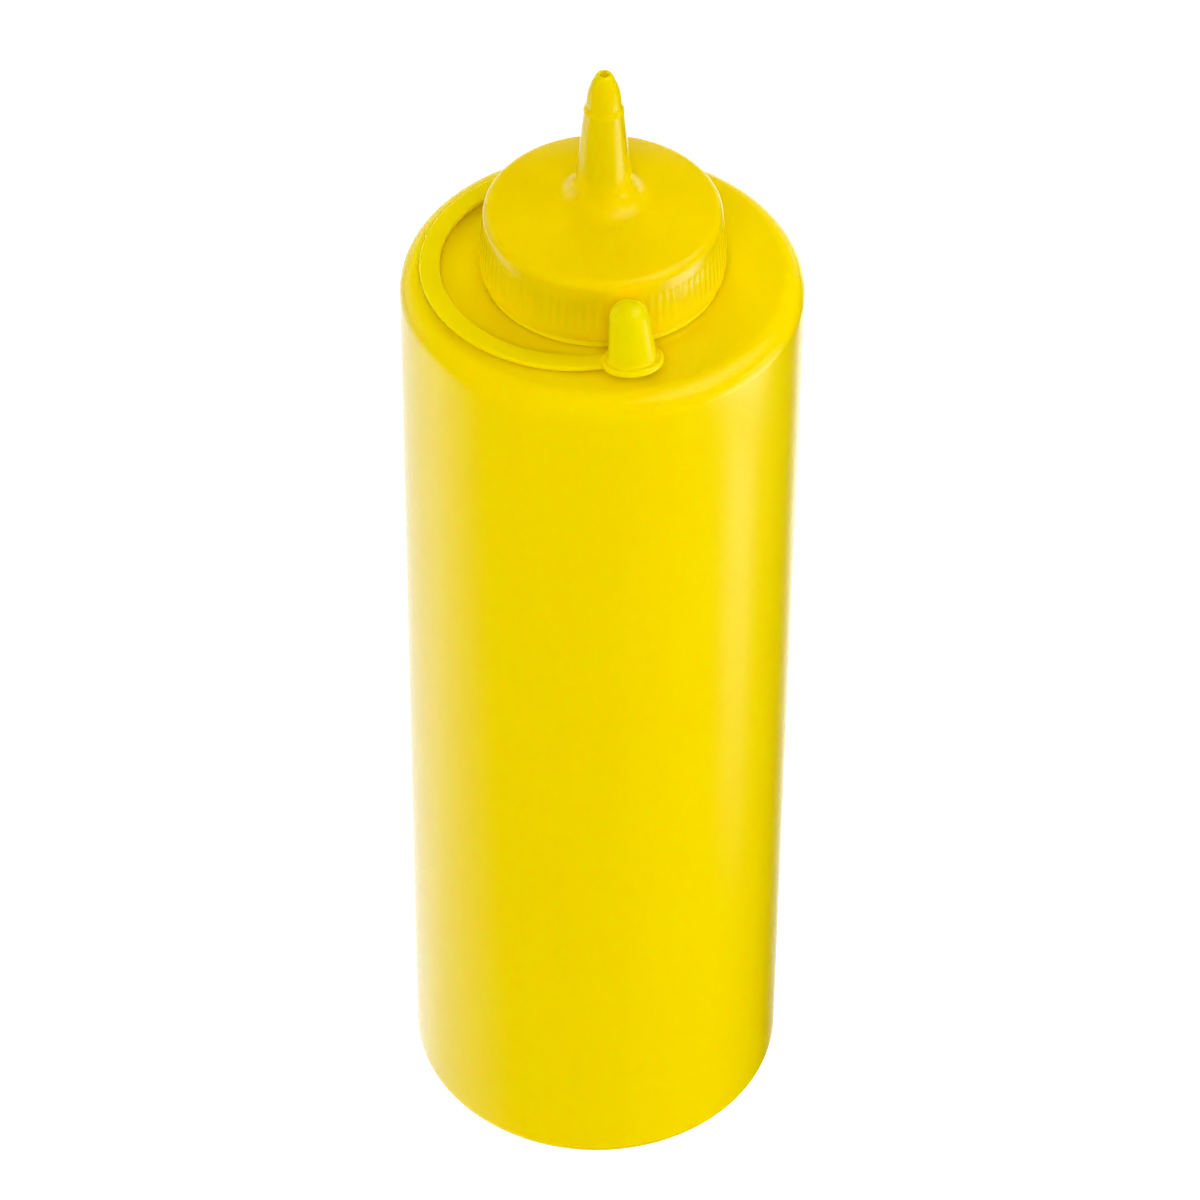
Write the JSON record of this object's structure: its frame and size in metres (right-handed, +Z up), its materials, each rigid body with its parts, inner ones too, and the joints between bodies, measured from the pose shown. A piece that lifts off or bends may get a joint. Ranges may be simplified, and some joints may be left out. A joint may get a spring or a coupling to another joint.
{
  "type": "squeeze bottle",
  "caption": "Plastic squeeze bottle for sauce, with a ribbed screw cap, a tapered nozzle and a tip cap on a strap.",
  "frame": {"origin": "centre of the base, on the surface that the bottle stands on", "axes": "+Z up along the bottle, -Y towards the side that the tip cap lies on, +X to the right seen from there"},
  "size_m": [0.07, 0.07, 0.2358],
  "materials": {
    "body": "yellow low density polyethylene, blow moulded, soft satin",
    "cap": "yellow low density polyethylene, injection moulded, semi gloss",
    "tether": "slightly lemon yellow low density polyethylene, injection moulded, semi gloss"
  },
  "bodies": {
    "root": {"bottle_body": "body", "nozzle_cap": "cap", "tip_cap_tether": "tether"}
  },
  "joints": []
}
